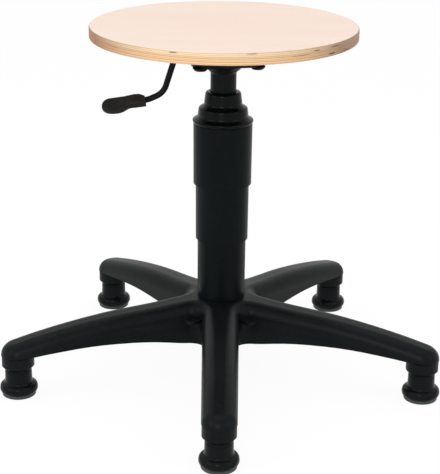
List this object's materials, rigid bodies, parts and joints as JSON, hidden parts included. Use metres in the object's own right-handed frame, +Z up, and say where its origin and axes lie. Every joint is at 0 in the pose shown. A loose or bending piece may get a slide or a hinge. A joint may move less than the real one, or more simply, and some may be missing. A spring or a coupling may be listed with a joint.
{
  "type": "height-adjustable work stool",
  "caption": "Low swivel work stool: round plywood seat on a gas spring with telescopic cover and release lever, on a star base with glides.",
  "frame": {"origin": "on the floor, on the column's axis", "axes": "+Z up along the column; one leg points along -Y, the front; +X to the right seen from the front"},
  "size_m": [0.5928, 0.5664, 0.4885],
  "materials": {
    "base_plastic": "moulded glass-filled polyamide, fine texture, black",
    "cover_plastic": "moulded polypropylene, fine grain, black",
    "grip_plastic": "moulded polyamide, satin, black",
    "glide_plastic": "moulded polyamide, satin, black",
    "glide_sole": "soft moulded sole, dark grey",
    "bush_plastic": "natural acetal",
    "black_steel": "powder coated, fine texture, black",
    "black_tube": "smooth black coating",
    "zinc_steel": "zinc plated",
    "bearing_steel": "ground",
    "rod_chrome": "hard chromed and ground",
    "light_metal": "turned",
    "black_rubber": "moulded",
    "insert_brass": "turned",
    "screw_steel": "black oxide",
    "beech_plywood": "clear lacquered beech plywood, satin"
  },
  "bodies": {
    "base": {"star_base": "base_plastic", "stand_tube": "black_tube", "guide_bush": "bush_plastic", "thrust_race_lower": "bearing_steel", "lower_sleeve": "cover_plastic"},
    "bearing_cage": {"thrust_balls": "bearing_steel", "ball_cage": "bush_plastic"},
    "rod": {"piston_rod": "rod_chrome", "piston": "light_metal", "piston_ring": "black_rubber", "thrust_race_upper": "bearing_steel", "rod_washer": "zinc_steel", "rod_clip": "zinc_steel", "rubber_bumper": "black_rubber"},
    "carriage": {"gas_cylinder": "black_tube", "rod_guide": "bush_plastic", "rod_seal": "black_rubber", "valve_body": "light_metal", "cover_cap": "cover_plastic", "upper_sleeve": "cover_plastic", "cone_socket": "black_steel", "seat_plate": "black_steel", "lever_bracket": "black_steel", "lever_pin": "zinc_steel", "seat_screws": "screw_steel", "insert_nuts": "insert_brass", "seat_board": "beech_plywood"},
    "middle": {"middle_sleeve": "cover_plastic"},
    "lever": {"lever_rod": "black_steel", "lever_grip": "grip_plastic"},
    "button": {"release_button": "zinc_steel"},
    "glide_1": {"glide_1_bell": "glide_plastic", "glide_1_pin": "zinc_steel", "glide_1_ring": "zinc_steel", "glide_1_sole": "glide_sole"},
    "glide_2": {"glide_2_bell": "glide_plastic", "glide_2_pin": "zinc_steel", "glide_2_ring": "zinc_steel", "glide_2_sole": "glide_sole"},
    "glide_3": {"glide_3_bell": "glide_plastic", "glide_3_pin": "zinc_steel", "glide_3_ring": "zinc_steel", "glide_3_sole": "glide_sole"},
    "glide_4": {"glide_4_bell": "glide_plastic", "glide_4_pin": "zinc_steel", "glide_4_ring": "zinc_steel", "glide_4_sole": "glide_sole"},
    "glide_5": {"glide_5_bell": "glide_plastic", "glide_5_pin": "zinc_steel", "glide_5_ring": "zinc_steel", "glide_5_sole": "glide_sole"}
  },
  "joints": [
    {"name": "swivel", "type": "hinge", "parent": "base", "child": "rod", "pos_m": [0, 0, 0.1], "axis": [0, 0, 1], "continuous": true},
    {"name": "bearing_roll", "type": "hinge", "parent": "base", "child": "bearing_cage", "pos_m": [0, 0, 0.043], "axis": [0, 0, 1], "continuous": true},
    {"name": "seat_lift", "type": "slide", "parent": "rod", "child": "carriage", "axis": [0, 0, 1], "range_m": [-0.13, 0]},
    {"name": "middle_lift", "type": "slide", "parent": "base", "child": "middle", "axis": [0, 0, 1], "range_m": [-0.065, 0]},
    {"name": "lever_pull", "type": "hinge", "parent": "carriage", "child": "lever", "pos_m": [-0.03338, -0.00649, 0.4495], "axis": [-0.1908, 0.9816, 0], "range_deg": [0, 8], "stiffness_Nm_per_rad": 1.5, "springref_deg": -5.73},
    {"name": "button_press", "type": "slide", "parent": "carriage", "child": "button", "axis": [0, 0, -1], "range_m": [0, 0.0048]},
    {"name": "glide_1_turn", "type": "hinge", "parent": "base", "child": "glide_1", "pos_m": [0, -0.285, 0.045], "axis": [0, 0, 1], "continuous": true},
    {"name": "glide_2_turn", "type": "hinge", "parent": "base", "child": "glide_2", "pos_m": [0.27105, -0.08807, 0.045], "axis": [0, 0, 1], "continuous": true},
    {"name": "glide_3_turn", "type": "hinge", "parent": "base", "child": "glide_3", "pos_m": [0.16752, 0.23057, 0.045], "axis": [0, 0, 1], "continuous": true},
    {"name": "glide_4_turn", "type": "hinge", "parent": "base", "child": "glide_4", "pos_m": [-0.16752, 0.23057, 0.045], "axis": [0, 0, 1], "continuous": true},
    {"name": "glide_5_turn", "type": "hinge", "parent": "base", "child": "glide_5", "pos_m": [-0.27105, -0.08807, 0.045], "axis": [0, 0, 1], "continuous": true}
  ],
  "couplings": [
    {"joint": "bearing_roll", "follows": "swivel", "ratio": 0.5},
    {"joint": "middle_lift", "follows": "seat_lift", "ratio": 0.5},
    {"joint": "button_press", "follows": "lever_pull", "m_per_rad": 0.034}
  ]
}
